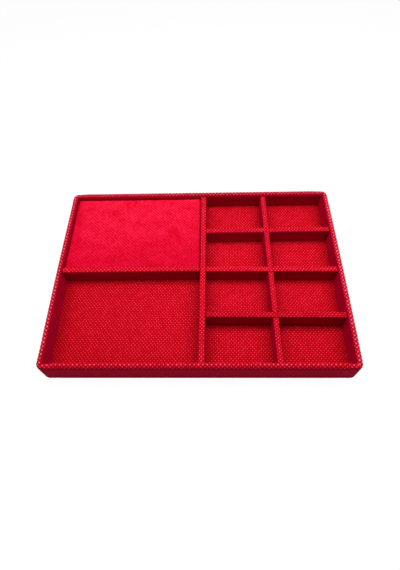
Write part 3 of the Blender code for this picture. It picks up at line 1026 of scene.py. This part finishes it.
def pad_sheet():
    """The flat cloth wrapped over the foam: over the top, round the edge, down the side and just under."""
    core = np.array([pad_half.x - PAD_CORNER, pad_half.y - PAD_CORNER])
    outline = rounded_outline([(0, PAD_EDGE_TOP), (PAD_CORNER, PAD_EDGE_TOP), (PAD_CORNER, pad_low.z),
                               (PAD_FOOT_ROUND, pad_low.z)], [PAD_EDGE, PAD_FOOT_ROUND])
    reach = outline_length(outline)
    columns = half_threads(-core[0] - reach, core[0] + reach, PAD_THREAD)
    rows = half_threads(-core[1] - reach, core[1] + reach, PAD_THREAD)
    flat = np.stack(np.meshgrid(columns, rows), axis=-1)
    on_core = np.clip(flat, -core, core)
    beyond = flat - on_core
    distance = np.linalg.norm(beyond, axis=-1)
    away = beyond / np.maximum(distance, MERGE)[..., None]
    profile, facing = walk(outline, np.clip(distance, 0, reach).ravel())
    profile = profile.reshape(*distance.shape, 2)
    facing = facing.reshape(*distance.shape, 2)
    facing[distance == 0] = (0, 1)
    along_count, across_count = np.moveaxis(flat / PAD_THREAD, -1, 0)
    sink = pad_relief(along_count, across_count)
    plan = on_core + away * (profile[..., :1] + facing[..., :1] * sink[..., None])
    top_share = np.clip((profile[..., 1] - pad_low.z) / (PAD_EDGE_TOP - pad_low.z), 0, 1)
    height = profile[..., 1] + facing[..., 1] * sink
    height = height + PAD_CROWN * swell_at(plan[..., 0], plan[..., 1]) * np.clip(facing[..., 1], 0, None)
    from_left, from_right = (np.clip(pad_half.x + side * plan[..., 0], 0, None) for side in (1, -1))
    height = height + PAD_SQUEEZE * top_share * np.exp(-from_right / PAD_SQUEEZE_REACH)
    draw = PAD_DRAW * top_share
    share_x, share_y = plan[..., 0] / pad_half.x, plan[..., 1] / pad_half.y
    pull_x = draw * np.cos(share_y * math.pi / 2) * share_x ** PULL_POWER
    pull_y = draw * np.cos(share_x * math.pi / 2) * share_y ** PULL_POWER
    points = np.stack([plan[..., 0] - pull_x + pad_middle.x, plan[..., 1] - pull_y + pad_middle.y, height],
                      axis=-1)
    # Painted shade: shadows of the wall and the divider beside the pad, and shade towards its front.
    from_front = np.clip((plan[..., 1] + pad_half.y) / PAD_FRONT_REACH, 0, 1)
    darkening = (PAD_LEFT_PAINTED_SHADOW * np.exp(-from_left / PAD_SIDE_REACH) + PAD_FRONT_PAINTED_SHADE * (1 - from_front)
            + PAD_RIGHT_PAINTED_SHADOW * np.exp(-from_right / PAD_SIDE_REACH))
    return fitted(points), along_count, across_count, light_and_wear(facing[..., 1]), darkening


def pad_hem_sheets():
    """The cloth turned in under the card, in four flaps folded at the corners."""
    start = PAD_CORNER - PAD_FOOT_ROUND
    outline = np.array([(PAD_HEM, pad_low.z), (start, pad_low.z)])
    sheets = []
    for quarters in range(4):
        halves = (pad_half.x, pad_half.y) if quarters % 2 == 0 else (pad_half.y, pad_half.x)
        strip = folded_strip(*halves, PAD_CORNER, outline, PAD_THREAD, flat=True)
        points = turned(strip[0], quarters) + np.array([pad_middle.x, pad_middle.y, 0])
        sheets.append((fitted(points), *strip[1:]))
    return sheets


pad_cover = cloth_object("pad_cloth_cover", [pad_sheet(), *pad_hem_sheets()])
dress(pad_cover, "pad", pad_cloth, "pad_cloth", "pad_cover")

# %% [markdown]
# ## Table, light and camera
#
# The photograph shows the tray from above on plain white. A broad soft lamp hangs overhead, a little to
# the rear, so the tops are bright and the faces that look at the camera are in shade. The table is pale
# to the light that it sends back up, and glows white only where the camera sees it.

# %% Table
SEEN_WHITE, SEEN_GLOW, BOUNCED = 0.07, 0.95, 0.8


def grey(value):
    return (value, value, value, 1)


def build_table():
    mesh = bpy.data.meshes.new("table")
    half = 6.0
    mesh.from_pydata([(-half, -half, 0), (half, -half, 0), (half, half, 0), (-half, half, 0)], [],
                     [(0, 1, 2, 3)])
    table = added("table", mesh)
    finish = Finish("table_white", Specular_IOR_Level=0.0)
    tree = finish.tree
    seen = finish.seen_directly()
    white = finish.node("ShaderNodeBsdfDiffuse", None, {"Color": grey(SEEN_WHITE)})
    glow = finish.node("ShaderNodeEmission", None, {"Color": grey(1), "Strength": SEEN_GLOW})
    shown = finish.node("ShaderNodeAddShader", None, {0: white, 1: glow})
    dim = finish.node("ShaderNodeBsdfDiffuse", None, {"Color": grey(BOUNCED)})
    both = finish.node("ShaderNodeMixShader", None, {0: seen, 1: dim, 2: shown})
    tree.links.new(both.socket, tree.nodes["Material Output"].inputs["Surface"])
    mesh.materials.append(finish.material)
    print(f"table {2 * half} m wide, seen as {SEEN_WHITE} of the light and {SEEN_GLOW} of glow")


build_table()


# %% Light
def build_lamp(name, place, size, power):
    """A rectangular lamp that faces straight down."""
    data = bpy.data.lights.new(name, "AREA")
    data.shape = "RECTANGLE"
    data.size, data.size_y = size
    data.energy = power
    lamp = added(name, data)
    lamp.location = place
    print(f"{name}: {size[0]} by {size[1]} m, {power} W")


build_lamp("overhead_softbox", place=(0.04, 0.092, 0.58), size=(1.4, 0.32), power=7.82)

AMBIENT = 0.15
bpy.context.scene.world = bpy.data.worlds.new("studio")
studio = Finish("studio", bpy.context.scene.world, Color=grey(1))
studio.done(Strength=AMBIENT + studio.seen_directly() * (1 - AMBIENT))

# %% Camera
FOCAL_PIXELS, FRAME_HEIGHT_PIXELS = 364.64, 570
SENSOR = 36.0
CAMERA_PLACE = (0.01334, -0.23598, 0.41487)
CAMERA_TURN = (0.51108, 0.02574, 0.00719)
camera_data = bpy.data.cameras.new("camera")
camera_data.sensor_width = SENSOR
camera_data.lens = FOCAL_PIXELS / FRAME_HEIGHT_PIXELS * SENSOR
camera = added("camera", camera_data)
camera.location = CAMERA_PLACE
camera.rotation_euler = CAMERA_TURN
bpy.context.scene.camera = camera
bpy.context.scene.view_settings.view_transform = "Standard"
print(f"camera lens {camera_data.lens:.2f} mm")
